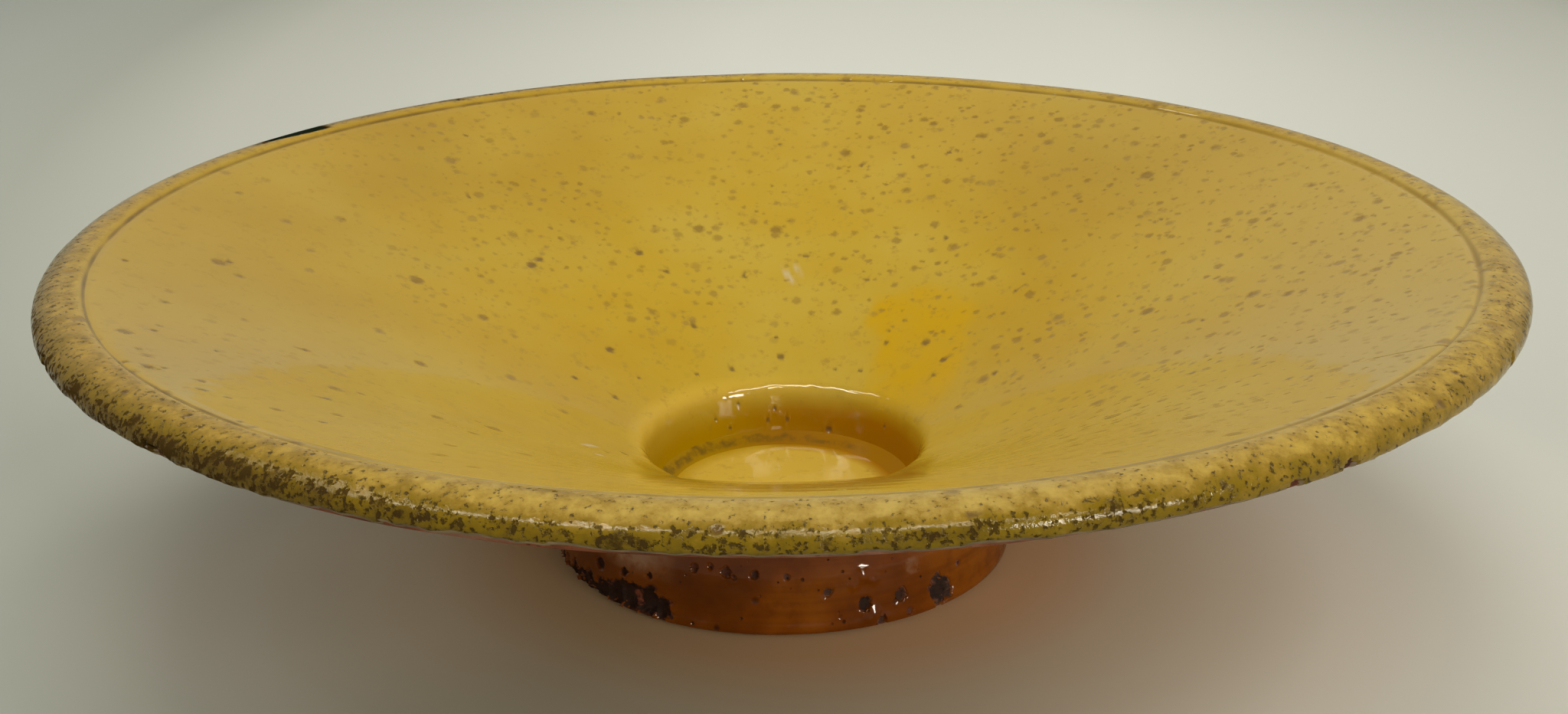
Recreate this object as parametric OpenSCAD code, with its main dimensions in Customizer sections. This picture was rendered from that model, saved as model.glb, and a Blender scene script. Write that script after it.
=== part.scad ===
// Old omelette turner: a wheel-thrown, glazed earthenware dish. A wide flared wall
// rises from a small well to a rolled rim, and the thick foot below is the grip.
// The round section is drawn once, as a curve on the glazed face, and each coat and
// each part of the clay takes the same curve at its own depth below that face.

/* [Dish] */
// Diameter of the dish over the glazed rim
dish_d = 280; // [250:1:310]
// Height from the table to the crest of the rim
dish_h = 68; // [60:0.5:78]
// How many degrees the wall grows flatter on its way from the well to the rim
wall_bend = 8; // [4:0.5:12]
// Thickness of the clay wall under the groove
wall_rim_t = 5; // [4:0.1:6.5]

/* [Well] */
// Diameter of the well where its wall would meet the flare in a sharp corner
mouth_d = 57; // [50:0.5:64]
// Height of the glazed floor of the well above the table
floor_h = 9.9; // [8:0.1:13]
// Depth of the well from its mouth to its floor
well_depth = 11.7; // [9:0.1:14]
// Lean of the well's wall away from upright, in degrees
well_lean = 14; // [6:1:20]
// Radius of the rounded shoulder at the mouth of the well
shoulder_r = 5; // [3:0.1:7]
// Radius of the hollow corner between the well's wall and floor
corner_r = 3; // [2:0.1:4]

/* [Rim] */
// Width of the rim from the groove to the outer edge
rim_band_w = 9.4; // [8:0.1:11]
// Radius of the broad top of the lip
lip_top_r = 8; // [7:0.1:10]
// Radius of the outer nose of the lip
lip_nose_r = 3; // [2.2:0.1:3.6]
// Radius of the underside of the lip
lip_under_r = 5.2; // [4.4:0.1:6]
// Depth of the groove cut just inside the rim
groove_depth = 0.7; // [0.4:0.05:1]
// Width of the groove at the glazed face
groove_w = 1.6; // [1:0.1:2.2]

/* [Foot] */
// Diameter of the foot over its glaze
foot_d = 90; // [82:0.5:98]
// Radius of the rounded edge at the base of the foot
foot_edge_r = 3; // [2:0.1:4.5]
// Lean of the foot's side inward as it rises, in degrees
foot_lean = 8; // [3:0.5:14]
// Height at which the foot's side begins to spread into the underside
grip_h = 15.5; // [13:0.1:18]
// Radius of the hollow curve there
grip_curve_r = 7; // [5:0.1:9]
// Diameter of the shallow turned recess beneath the foot
recess_d = 66; // [60:0.5:72]
// Depth of that recess
recess_depth = 3.4; // [2:0.1:4]

/* [Coats] */
// Thickness of the pale slip on the upper face
slip_t = 0.4; // [0.2:0.05:0.6]
// Thickness of the yellow glaze over the slip
glaze_t = 0.4; // [0.2:0.05:0.6]
// Thickness of the amber glaze on the foot and the underside
foot_glaze_t = 0.35; // [0.2:0.05:0.6]
// Width of the bare band left between the rim and the amber glaze
bare_w = 9; // [5:0.5:14]

/* [Hidden] */
$fn = 180;

clay_color = "#8a4528";
slip_color = "#e6d9b4";
yellow_color = "#c7a23a";
amber_color = "#84440f";
pool_color = "#5d4a0c";

// Directions in the section are [radius, height]. A direction at angle a:
function dir(a) = [cos(a), sin(a)];

// Unit normal, on the upper side, of a surface that rises outward at angle a
function up_normal(a) = [-sin(a), cos(a)];

// Angle of the line from one point to another
function heading(from, to) = atan2(to[1] - from[1], to[0] - from[0]);

// Points along an arc; from = 1 leaves out the first, where the last arc ended
function arc(centre, r, a0, a1, steps, from = 0) =
    [for (i = [from : steps]) centre + r * dir(a0 + (a1 - a0) * i / steps)];

function reversed(points) = [for (i = [len(points) - 1 : -1 : 0]) points[i]];

dish_r = dish_d / 2;
coat_t = slip_t + glaze_t;

// Lip: a broad top arc, a small nose and an under arc, each tangent to the next
lip_top_to_nose = 52;
lip_nose_to_under = -48;
lip_coats_end = -60;
lip_clay_end = -115;
nose_z = dish_h - lip_top_r + (lip_top_r - lip_nose_r) * sin(lip_top_to_nose);
nose_c = [dish_r - lip_nose_r, nose_z];
lip_top_c = nose_c - (lip_top_r - lip_nose_r) * dir(lip_top_to_nose);
lip_under_c = nose_c - (lip_under_r - lip_nose_r) * dir(lip_nose_to_under);

// Groove: it lies where the flared wall gives way to the lip
groove_r = dish_r - rim_band_w;
groove_z = lip_top_c[1] + sqrt(pow(lip_top_r, 2) - pow(lip_top_c[0] - groove_r, 2));
groove_p = [groove_r, groove_z];

// Well: a floor, a hollow corner, a leaning wall and a rounded shoulder
mouth_p = [mouth_d / 2, floor_h + well_depth];
well_a = 90 - well_lean;
well_foot_p = [mouth_p[0] - well_depth * tan(well_lean), floor_h];
corner_c = well_foot_p + [-corner_r * tan(well_a / 2), corner_r];
flare_in_a = heading(mouth_p, groove_p) + wall_bend / 2;
shoulder_run = shoulder_r * tan((well_a - flare_in_a) / 2);
shoulder_c = mouth_p + shoulder_run * dir(flare_in_a) - shoulder_r * up_normal(flare_in_a);

// Flared wall: one long arc from the shoulder to the groove
flare_start_p = mouth_p + shoulder_run * dir(flare_in_a);
flare_chord_a = heading(flare_start_p, groove_p);
flare_out_a = 2 * flare_chord_a - flare_in_a;
flare_r = norm(groove_p - flare_start_p) / (2 * sin(flare_in_a - flare_chord_a));
flare_c = flare_start_p - flare_r * up_normal(flare_in_a);

// Sides of the groove lie at one slope in every coat, so its sides stay parallel
groove_side_a = atan2(groove_depth, groove_w / 2);
function groove_depth_at(d) = groove_depth + d * (1 / cos(groove_side_a) - 1);
function groove_half_at(d) = groove_depth_at(d) / tan(groove_side_a);

// Parts of the curve at a depth d below the glazed upper face
function floor_points(d) = [[0, floor_h - d], [corner_c[0], floor_h - d]];
function corner_points(d) = arc(corner_c, corner_r + d, -90, -90 + well_a, 6, 1);
function shoulder_points(d) =
    arc(shoulder_c, shoulder_r - d, 90 + well_a, 90 + flare_in_a, 8);
function flare_points(d) =
    let (short = groove_half_at(d) / (flare_r - d) * 180 / PI)
    arc(flare_c, flare_r - d, 90 + flare_in_a, 90 + flare_out_a + short, 16, 1);
function groove_point(d) = groove_p - (d + groove_depth_at(d)) * up_normal(flare_out_a);
function lip_points(d, end_a) =
    let (outer_r = groove_r + d * sin(flare_out_a) + groove_half_at(d),
         start_a = acos((outer_r - lip_top_c[0]) / (lip_top_r - d)))
    concat(arc(lip_top_c, lip_top_r - d, start_a, lip_top_to_nose, 8),
           arc(nose_c, lip_nose_r - d, lip_top_to_nose, lip_nose_to_under, 8, 1),
           arc(lip_under_c, lip_under_r - d, lip_nose_to_under, end_a, 6, 1));
function upper_face(d) =
    concat(floor_points(d), corner_points(d), shoulder_points(d), flare_points(d),
           [groove_point(d)], lip_points(d, lip_coats_end));

// Foot and underside: a rounded edge, a leaning side, a hollow curve and a straight
// run out to the rim, each tangent to the next
edge_glaze_end = -40;
edge_c = [foot_d / 2 - foot_glaze_t - foot_edge_r, foot_edge_r];
side_start_p = edge_c + foot_edge_r * dir(foot_lean);
side_run = (grip_h - grip_curve_r * sin(foot_lean) - side_start_p[1]) / cos(foot_lean);
grip_c = side_start_p + side_run * up_normal(foot_lean) + grip_curve_r * dir(foot_lean);
under_rim_p = groove_p - (coat_t + wall_rim_t) * up_normal(flare_out_a);
under_a = heading(grip_c, under_rim_p) + acos(grip_curve_r / norm(under_rim_p - grip_c));
under_foot_p = grip_c + grip_curve_r * dir(under_a);
glaze_edge_p = under_rim_p + bare_w * up_normal(under_a);

// Curve of the foot at a height h above its clay, from the underside to the glaze's end
function foot_side(h) =
    concat(arc(grip_c, grip_curve_r - h, under_a, 180 + foot_lean, 10),
           arc(edge_c, foot_edge_r + h, foot_lean, edge_glaze_end, 6));

// Recess beneath the foot, with a sloping wall and rounded inner edge of the ring
recess_slope = 35;
recess_edge_r = 1.2;
recess_r = recess_d / 2;
recess_edge_c = [recess_r + recess_edge_r, recess_edge_r];
recess_turn_p = recess_edge_c + recess_edge_r * dir(180 + recess_slope);
recess_in_r = recess_turn_p[0] - (recess_depth - recess_turn_p[1]) * tan(recess_slope);

// Thick clay ring below the flare: foot, grip and the wall of the well
module foot_ring() {
    color(clay_color)
        rotate_extrude()
            polygon(concat(
                [[corner_c[0], recess_depth], [corner_c[0], floor_h - coat_t]],
                corner_points(coat_t),
                shoulder_points(coat_t),
                foot_side(0),
                arc(edge_c, foot_edge_r, edge_glaze_end, -90, 5, 1),
                arc(recess_edge_c, recess_edge_r, 270, 180 + recess_slope, 5),
                [[recess_in_r, recess_depth]]));
}

// Flat clay disc that closes the bottom of the well
module well_floor() {
    color(clay_color)
        translate([0, 0, recess_depth])
            cylinder(r = corner_c[0], h = floor_h - coat_t - recess_depth);
}

// Flared clay wall between the shoulder of the well and the groove
module flared_wall() {
    shoulder = shoulder_points(coat_t);
    color(clay_color)
        rotate_extrude()
            polygon(concat(
                [shoulder[len(shoulder) - 1]],
                flare_points(coat_t),
                [groove_point(coat_t), under_rim_p, under_foot_p]));
}

// Rolled clay lip outside the groove
module rolled_rim() {
    color(clay_color)
        rotate_extrude()
            polygon(concat(
                [under_rim_p, groove_point(coat_t)],
                lip_points(coat_t, lip_coats_end),
                arc(lip_under_c, lip_under_r - coat_t, lip_coats_end, lip_clay_end, 6, 1)));
}

// Pale slip brushed over the whole upper face and round the lip
module slip_coat() {
    color(slip_color)
        rotate_extrude()
            polygon(concat(upper_face(glaze_t), reversed(upper_face(coat_t))));
}

// Yellow lead glaze over the slip
module yellow_glaze() {
    color(yellow_color)
        rotate_extrude()
            polygon(concat(upper_face(0), reversed(upper_face(glaze_t))));
}

// Amber glaze straight on the red clay of the foot and the underside
module foot_glaze() {
    edge_out = glaze_edge_p - foot_glaze_t * dir(under_a);
    color(amber_color)
        rotate_extrude()
            polygon(concat(
                [glaze_edge_p],
                foot_side(0),
                reversed(foot_side(foot_glaze_t)),
                [edge_out]));
}

// Thick dark ring of glaze that ran down the well's wall and set in its corner
module glaze_pool() {
    color(pool_color)
        rotate_extrude()
            polygon(arc(corner_c, corner_r, -90, -90 + well_a, 6));
}

foot_ring();
well_floor();
flared_wall();
rolled_rim();
slip_coat();
yellow_glaze();
foot_glaze();
glaze_pool();
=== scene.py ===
import math
import random

import bmesh
import bpy
from mathutils import Matrix, Vector, kdtree, noise


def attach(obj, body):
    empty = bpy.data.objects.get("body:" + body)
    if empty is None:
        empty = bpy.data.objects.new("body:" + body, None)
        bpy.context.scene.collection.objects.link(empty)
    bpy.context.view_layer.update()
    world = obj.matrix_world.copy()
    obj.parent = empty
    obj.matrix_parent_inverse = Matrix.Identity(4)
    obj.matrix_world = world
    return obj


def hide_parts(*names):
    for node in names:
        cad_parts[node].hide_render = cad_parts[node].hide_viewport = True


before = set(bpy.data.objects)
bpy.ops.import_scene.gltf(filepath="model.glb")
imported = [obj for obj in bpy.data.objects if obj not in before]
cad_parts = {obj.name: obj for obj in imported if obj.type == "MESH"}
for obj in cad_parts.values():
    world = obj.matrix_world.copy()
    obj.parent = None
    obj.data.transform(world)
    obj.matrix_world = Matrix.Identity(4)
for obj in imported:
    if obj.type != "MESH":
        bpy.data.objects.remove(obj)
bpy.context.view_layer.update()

# Red clay body
# One lump of red earthenware, thrown on the wheel, turned at the foot and fired. The
# floor of its well, its foot ring, its flared wall and its rolled rim pass into each
# other; bare clay shows beneath the foot, under the rim and where the coats are chipped.
MM = 0.001
SEGMENTS, SECTORS = 480, 16
CREASE_A = 50             # an edge that turns by more degrees than this stays sharp
CLAY_DEPTH = 0.8          # the slip and the yellow glaze lie this thick on the clay

# Driving sizes of the section in mm and degrees, the same as the CAD's
DISH_R, DISH_H, RIM_BAND_W, GROOVE_DEPTH, GROOVE_HALF = 140.0, 68.0, 9.4, 0.7, 0.8
LIP_TOP_R, LIP_NOSE_R, LIP_UNDER_R = 8.0, 3.0, 5.2
LIP_TOP_A, LIP_NOSE_A, LIP_COATS_A, LIP_CLAY_A = 52, -48, -60, -115
MOUTH_R, FLOOR_Z, WELL_DEPTH, WELL_A = 28.5, 9.9, 11.7, 76.0
CORNER_R, SHOULDER_R, WALL_BEND, WALL_T = 3.0, 5.0, 8.0, 5.0
FOOT_R, FOOT_LEAN, EDGE_R, EDGE_GLAZE_A, GRIP_Z, GRIP_R = 44.65, 8, 3.0, -40, 15.5, 7.0
RECESS_R, CEILING_Z, RING_R, RING_A = 33.0, 3.4, 1.2, 215


def at(radius, height):
    return Vector((radius, 0, height))


def way(angle, reach=1.0):
    """A step in the section, at an angle above straight outwards."""
    return at(math.cos(math.radians(angle)), math.sin(math.radians(angle))) * reach


def heading(start, end):
    return math.degrees(math.atan2(end.z - start.z, end.x - start.x))


# Lip: a broad top arc, a small nose and an under arc, each smooth into the next
lip_step = way(LIP_TOP_A, LIP_TOP_R - LIP_NOSE_R)
LIP_TOP_C = at(DISH_R - LIP_NOSE_R - lip_step.x, DISH_H - LIP_TOP_R)
LIP_NOSE_C = LIP_TOP_C + lip_step
LIP_UNDER_C = LIP_NOSE_C - way(LIP_NOSE_A, LIP_UNDER_R - LIP_NOSE_R)
LIP_HEART = at(134.4, 62.4)
groove_run = LIP_TOP_C.x - DISH_R + RIM_BAND_W
GROOVE_P = at(DISH_R - RIM_BAND_W, LIP_TOP_C.z + math.sqrt(LIP_TOP_R ** 2 - groove_run ** 2))

# Well and wall: a hollow corner, a leaning well, a round shoulder and one long flat arc
WELL_TAN = math.tan(math.radians(WELL_A))
MOUTH_P = at(MOUTH_R, FLOOR_Z + WELL_DEPTH)
corner_run = WELL_DEPTH / WELL_TAN + CORNER_R * math.tan(math.radians(WELL_A / 2))
CORNER_C = at(MOUTH_R - corner_run, FLOOR_Z + CORNER_R)
FLARE_IN_A = heading(MOUTH_P, GROOVE_P) + WALL_BEND / 2
shoulder_run = SHOULDER_R * math.tan(math.radians((WELL_A - FLARE_IN_A) / 2))
FLARE_START = MOUTH_P + way(FLARE_IN_A, shoulder_run)
SHOULDER_C = FLARE_START - way(FLARE_IN_A + 90, SHOULDER_R)
chord_a = heading(FLARE_START, GROOVE_P)
FLARE_OUT_A = 2 * chord_a - FLARE_IN_A
FLARE_R = (GROOVE_P - FLARE_START).length / (2 * math.sin(math.radians(FLARE_IN_A - chord_a)))
FLARE_C = FLARE_START - way(FLARE_IN_A + 90, FLARE_R)

# Foot: a round edge, a leaning side, a hollow curve and a straight run out to the rim
EDGE_C = at(FOOT_R - EDGE_R, EDGE_R)
side_start = EDGE_C + way(FOOT_LEAN, EDGE_R)
side_run = (GRIP_Z - way(FOOT_LEAN, GRIP_R).z - side_start.z) / way(FOOT_LEAN).x
GRIP_C = side_start + way(FOOT_LEAN + 90, side_run) + way(FOOT_LEAN, GRIP_R)
UNDER_RIM_P = GROOVE_P - way(FLARE_OUT_A + 90, CLAY_DEPTH + WALL_T)
under_run = (UNDER_RIM_P - GRIP_C).length
UNDER_A = heading(GRIP_C, UNDER_RIM_P) + math.degrees(math.acos(GRIP_R / under_run))
UNDER_FOOT_P = GRIP_C + way(UNDER_A, GRIP_R)
RING_C = at(RECESS_R + RING_R, RING_R)
ring_end = RING_C + way(RING_A, RING_R)
RECESS_IN_R = ring_end.x - (CEILING_Z - ring_end.z) * math.tan(math.radians(RING_A - 180))


class Section:
    """A wire drawn at y = 0 in mm, radius along x, then turned about the wheel's axis."""

    def __init__(self, start):
        self.bm = bmesh.new()
        self.tip = self.bm.verts.new(start)

    def line(self, to, steps=1):
        start = self.tip.co.copy()
        for i in range(steps):
            made = bmesh.ops.extrude_vert_indiv(self.bm, verts=[self.tip])
            self.tip = made["verts"][0]
            self.tip.co = start.lerp(to, (i + 1) / steps)

    def arc(self, centre, turn, steps):
        made = bmesh.ops.spin(self.bm, geom=[self.tip], cent=centre, axis=(0, -1, 0),
                              angle=math.radians(turn), steps=steps)
        self.tip = next(g for g in made["geom_last"] if isinstance(g, bmesh.types.BMVert))

    def turned(self):
        """Turns one sector and repeats it all round, which is quicker than a full spin."""
        bm = self.bm
        bmesh.ops.spin(bm, geom=bm.verts[:] + bm.edges[:], cent=(0, 0, 0), axis=(0, 0, 1),
                       angle=math.tau / SECTORS, steps=SEGMENTS // SECTORS)
        bmesh.ops.spin(bm, geom=bm.verts[:] + bm.edges[:] + bm.faces[:], cent=(0, 0, 0),
                       axis=(0, 0, 1), angle=math.tau * (1 - 1 / SECTORS), steps=SECTORS - 1,
                       use_duplicate=True)
        bmesh.ops.remove_doubles(bm, verts=bm.verts, dist=1e-4)
        bmesh.ops.recalc_face_normals(bm, faces=bm.faces)
        return bm


def smooth(low, high, x):
    x = min(max((x - low) / (high - low), 0.0), 1.0)
    return x * x * (3 - 2 * x)


def bell(x, middle, wide):
    return math.exp(-((x - middle) / wide) ** 2)


def by_hand(p):
    """How far the potter's hand and the kiln left a point of the true section, in mm."""
    r, t = math.hypot(p.x, p.y), math.atan2(p.y, p.x)
    out, high = min(r / DISH_R, 1.0), min(max(p.z / 20, 0.0), 1.0)
    flat = Vector((p.x, p.y, 0)) / max(r, 1e-6)
    sway = 0.2 * out ** 2 * high * (1 - math.cos(2 * t + 0.6))
    oval = 0.03 * out ** 3 * (1 - math.cos(3 * t - 1.1))
    lumpy = noise.noise(Vector((p.x, p.y, p.z * 1.5)) * 0.045 + Vector((3, 7, 1)))
    lump = 0.14 * out ** 4 * (1 + lumpy)
    nick = 0.1 * out ** 8 * (1 + noise.noise(p * 0.17))
    foot = 0.0
    if p.z < 20 and r > 36:
        foot = (1.3 - 0.4 * math.cos(t - 0.6)) * min(1.0, (20 - p.z) / 8) * min(1.0, (r - 36) / 4)
        foot += 1.1 * (1 - smooth(0.0, 3.4, p.z)) * min(1.0, (r - 36) / 5)
    return flat * (foot - oval - lump * 0.3 - nick * 0.7) - Vector((0, 0, sway + lump * high))


def around(radius, bearing, height=0.0):
    """The point at a radius from the axis, a bearing in degrees and a height."""
    turn = math.radians(bearing)
    return Vector((radius * math.cos(turn), radius * math.sin(turn), height))


def on_piece(radius, bearing, height):
    """The same, moved as the potter's hand moved the surface there."""
    p = around(radius, bearing, height)
    return p + by_hand(p)


def place_of(p):
    """Radius and bearing in degrees of a point."""
    return math.hypot(p.x, p.y), math.degrees(math.atan2(p.y, p.x)) % 360


def facing(p, bearing):
    """1 at a bearing from the axis, 0 at right angles to it and -1 on the other side."""
    return math.cos(math.atan2(p.y, p.x) - math.radians(bearing))


def nearby(points):
    """A tree that finds which of the points lie near a place."""
    tree = kdtree.KDTree(len(points))
    for i, point in enumerate(points):
        tree.insert(point, i)
    tree.balance()
    return tree


def refine(bm, marks, margin):
    """Cuts the faces finer round each mark, so that its shape is real geometry."""
    bm.edges.ensure_lookup_table()
    middles = nearby([(e.verts[0].co + e.verts[1].co) / 2 for e in bm.edges])
    near = {i for spot, wide in marks for _, i, _ in middles.find_range(spot, wide / 2 + margin)}
    bmesh.ops.subdivide_edges(bm, edges=[bm.edges[i] for i in sorted(near)], cuts=2, use_grid_fill=True)


def piece(bm, name, material, paint=None):
    """Makes a turned section, still in mm, an object in metres, with its painted masks."""
    for e in bm.edges:
        if len(e.link_faces) == 2 and e.calc_face_angle() > math.radians(CREASE_A):
            e.smooth = False
    for f in bm.faces:
        f.smooth = True
    for mask, value in (paint or {}).items():
        layer = bm.verts.layers.float.new(mask)
        for v in bm.verts:
            v[layer] = value(v.co)
    bmesh.ops.scale(bm, vec=(MM, MM, MM), verts=bm.verts)
    mesh = bpy.data.meshes.new(name)
    bm.to_mesh(mesh)
    bm.free()
    made = bpy.data.objects.new(name, mesh)
    bpy.context.collection.objects.link(made)
    made.data.materials.append(material)
    return made


def linear(hex_colour):
    def channel(c):
        return c / 12.92 if c <= 0.04045 else ((c + 0.055) / 1.055) ** 2.4
    return [channel(int(hex_colour[i:i + 2], 16) / 255) for i in (1, 3, 5)] + [1.0]


def add(tree, kind, inputs=None, stops=None, **settings):
    """Adds a node with its settings, constants and links; a node links by its first output."""
    node = tree.nodes.new("ShaderNode" + kind)
    for name, value in settings.items():
        setattr(node, name, value)
    for name, value in (inputs or {}).items():
        if isinstance(value, bpy.types.Node):
            value = next(output for output in value.outputs if output.enabled)
        if isinstance(value, bpy.types.NodeSocket):
            tree.links.new(value, node.inputs[name])
        else:
            node.inputs[name].default_value = value
    if stops:
        ramp = node.color_ramp
        while len(ramp.elements) < len(stops):
            ramp.elements.new(1.0)
        for element, (place, colour) in zip(ramp.elements, stops):
            element.position = place
            element.color = linear(colour)
    return node


def new_material(name):
    material = bpy.data.materials.new(name)
    material.use_nodes = True
    material.node_tree.nodes.clear()
    return material, material.node_tree


def specks(tree, where, cell_mm, size, keep, soft=0.06):
    """Round spots, one in some cells of a scatter: 1 inside a spot and 0 outside."""
    cells = add(tree, "TexVoronoi", {"Vector": where, "Scale": 1000 / cell_mm, "Randomness": 1.0})
    parts = add(tree, "SeparateColor", {"Color": cells.outputs["Color"]})
    reach = add(tree, "Math", {0: parts.outputs[0], 1: size * 0.7, 2: size * 0.4}, operation="MULTIPLY_ADD")
    inside = add(tree, "Math", {0: reach, 1: cells.outputs["Distance"]}, operation="SUBTRACT")
    edge = add(tree, "Math", {0: inside, 1: 1 / soft}, operation="MULTIPLY", use_clamp=True)
    kept = add(tree, "Math", {0: parts.outputs[1], 1: keep}, operation="LESS_THAN")
    return add(tree, "Math", {0: edge, 1: kept}, operation="MULTIPLY")


# Bare red earthenware, brick red to pinkish grey where it is worn and dirty, matt and
# grainy. Object coordinates are metres, so a pattern's Scale is 1000 / its size in mm.
CLAY_RED, CLAY_DARK, CLAY_WORN, SOOT = "#9a5535", "#6d3a24", "#b58a72", "#2a1c14"
clay, tree = new_material("bare_red_earthenware")
place = add(tree, "TexCoord").outputs["Object"]
cloud = add(tree, "TexNoise", {"Vector": place, "Scale": 1000 / 14.29, "Detail": 5.0, "Roughness": 0.6})
tone = add(tree, "ValToRGB", {"Fac": cloud}, stops=[(0.28, CLAY_DARK), (0.5, CLAY_RED), (0.72, CLAY_WORN)])
grit = specks(tree, place, 1.6, 0.34, 0.6)
gritty = add(tree, "Mix", {0: grit, 6: tone, 7: linear(CLAY_DARK)}, data_type="RGBA")
soot = add(tree, "Attribute", attribute_name="soot")
sooty = add(tree, "Mix", {0: soot.outputs["Fac"], 6: gritty, 7: linear(SOOT)}, data_type="RGBA")
grain = add(tree, "TexNoise", {"Vector": place, "Scale": 1000 / 1.111, "Detail": 4.0, "Roughness": 0.7})
bump = add(tree, "Bump", {"Height": grain, "Distance": 0.5 * MM, "Strength": 0.9})
shade = add(tree, "BsdfPrincipled", {"Base Color": sooty, "Roughness": 0.82,
                                     "Specular IOR Level": 0.12, "Normal": bump})
add(tree, "OutputMaterial", {"Surface": shade})

# Chips that go through the coats: radius, bearing, height, width, depth in mm, soot 0 to 1
RIM_CHIPS = [(139.9, 228.2, 63.2, 2.6, 0.7, 0.95), (139.6, 301.4, 62.5, 3.2, 0.8, 0.7),
             (139.8, 306.0, 63.0, 3.0, 0.8, 0.9), (139.9, 208.6, 63.9, 3.0, 0.6, 0.9),
             (139.8, 328.6, 64.6, 1.8, 0.4, 0.9), (139.9, 226.9, 64.2, 1.6, 0.5, 0.95),
             (139.7, 20.0, 62.9, 3.6, 0.8, 0.3), (139.8, 74.0, 63.4, 3.0, 0.7, 0.5),
             (139.7, 121.0, 62.8, 3.4, 0.7, 0.4), (139.8, 186.0, 62.9, 4.0, 0.8, 0.6)]
# On the foot: bearing, height and the rest as above. They form a black broken edge at the
# left, with one clean red core
FOOT_MARKS = [(185, 1.6, 3.0, 0.6, 0.95), (189, 1.4, 3.6, 0.7, 0.95), (193.5, 1.5, 4.0, 0.8, 0.95),
              (198, 1.6, 4.4, 0.8, 0.95), (202.5, 1.7, 4.6, 0.9, 0.95), (207, 1.8, 4.8, 0.9, 0.95),
              (211.5, 1.9, 4.8, 0.9, 0.95), (216, 2.0, 5.0, 0.9, 0.95), (220.5, 2.2, 5.4, 0.9, 0.95),
              (225, 2.8, 6.0, 1.0, 0.95), (230, 3.4, 6.8, 1.0, 0.95), (235.5, 3.6, 6.8, 1.0, 0.95),
              (239.5, 3.0, 5.0, 0.9, 0.95), (232.5, 4.0, 4.4, 1.2, 0.1), (228, 8.0, 2.0, 0.5, 0.9),
              (219, 7.4, 2.6, 0.5, 0.9), (236, 8.9, 1.6, 0.4, 0.9), (310.2, 4.0, 5.6, 0.8, 0.95),
              (309.0, 6.2, 3.0, 0.6, 0.9), (312.6, 2.4, 2.6, 0.5, 0.9), (288.9, 5.4, 2.6, 0.6, 0.95),
              (298.6, 5.8, 2.4, 0.6, 0.85), (280.2, 8.5, 1.5, 0.4, 0.8), (293.2, 1.7, 2.2, 0.4, 0.8),
              (248.0, 12.4, 1.9, 0.3, 0.6), (256.2, 12.6, 2.0, 0.3, 0.7), (257.9, 11.6, 1.2, 0.3, 0.6),
              (262.9, 12.2, 1.7, 0.35, 0.85), (270.5, 12.0, 1.2, 0.3, 0.7), (252.1, 13.1, 1.0, 0.3, 0.6),
              (317.2, 7.4, 1.2, 0.3, 0.6), (300.5, 2.0, 1.4, 0.3, 0.6), (22, 3.2, 4.6, 0.7, 0.7),
              (26, 4.4, 3.4, 0.6, 0.9), (92, 3.6, 5.0, 0.9, 0.8), (97, 3.0, 4.2, 0.8, 0.2),
              (148, 2.8, 3.6, 0.7, 0.8), (171, 8.0, 2.4, 0.6, 0.9), (120, 11.0, 2.0, 0.5, 0.9)]
FOOT_WIDEST, FOOT_WIDEST_Z, FOOT_SLOPE = 46.25, 3.4, 0.14
CHIP_REACH = 4.6          # no chip reaches further than this from its middle
CLEAN_SOOT = 0.3          # a chip with less soot than this has a clean core


class Chips:
    """Chips on one edge, found by place; the coats are gone a little wider than the clay."""

    def __init__(self, listed, rag):
        self.listed, self.rag = listed, rag
        self.tree = nearby([centre for centre, *_ in listed])

    def spots(self):
        return [(centre, wide) for centre, wide, _, _ in self.listed]

    def wear(self, p, grow=0.0):
        """Depth into the clay, share of soot, and share of coat gone at p."""
        deep, dark, gone, clean = 0.0, 0.0, 0.0, 1.0
        for _, i, away in self.tree.find_range(p, CHIP_REACH):
            _, wide, depth, black = self.listed[i]
            rag = noise.noise(p * 0.55) + 0.6 * noise.noise(p * 1.4) + 0.4 * noise.noise(p * 3.0)
            ragged = away + self.rag * min(1.0, wide / 4) * rag
            half = wide / 2
            deep = max(deep, depth * (1 - smooth(half * 0.35, half, ragged)))
            if black < CLEAN_SOOT:
                clean = min(clean, smooth(half * 0.45, half * 0.9, ragged) + black)
            dark = max(dark, black * (1 - smooth(half * 0.8, half * 1.3, ragged)))
            gone = max(gone, 1 - smooth(half + grow - 0.12, half + grow + 0.12, ragged))
        return deep, dark * clean, gone


rim_chips = Chips([(on_piece(r, b, z), wide, deep, black) for r, b, z, wide, deep, black in RIM_CHIPS], 0.5)
foot_chips = Chips([(around(FOOT_WIDEST - FOOT_SLOPE * max(z - FOOT_WIDEST_Z, 0), b, z), wide, deep, black)
                    for b, z, wide, deep, black in FOOT_MARKS], 1.1)


def inward(p):
    """Unit direction into the clay: to the heart of the rolled lip, or towards the axis."""
    flat = Vector((p.x, p.y, 0)).normalized()
    if p.z > 30:
        return (flat * LIP_TOP_C.x + Vector((0, 0, LIP_TOP_C.z + 2)) - p).normalized()
    return -flat


def lip_turn(p):
    """Where p lies round the rolled lip, in degrees: 90 on its top, 0 outside, -90 beneath."""
    return math.degrees(math.atan2(p.z - LIP_HEART.z, math.hypot(p.x, p.y) - LIP_HEART.x))


def coat_end(p):
    """Where round the lip the coats break off, ragged as the wiping hand left them."""
    ring = Vector((p.x, p.y, 0)).normalized()
    return 2 + 7 * noise.noise(ring * 7) + 6 * noise.noise(ring * 29) + 5 * noise.noise(ring * 80)


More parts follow.
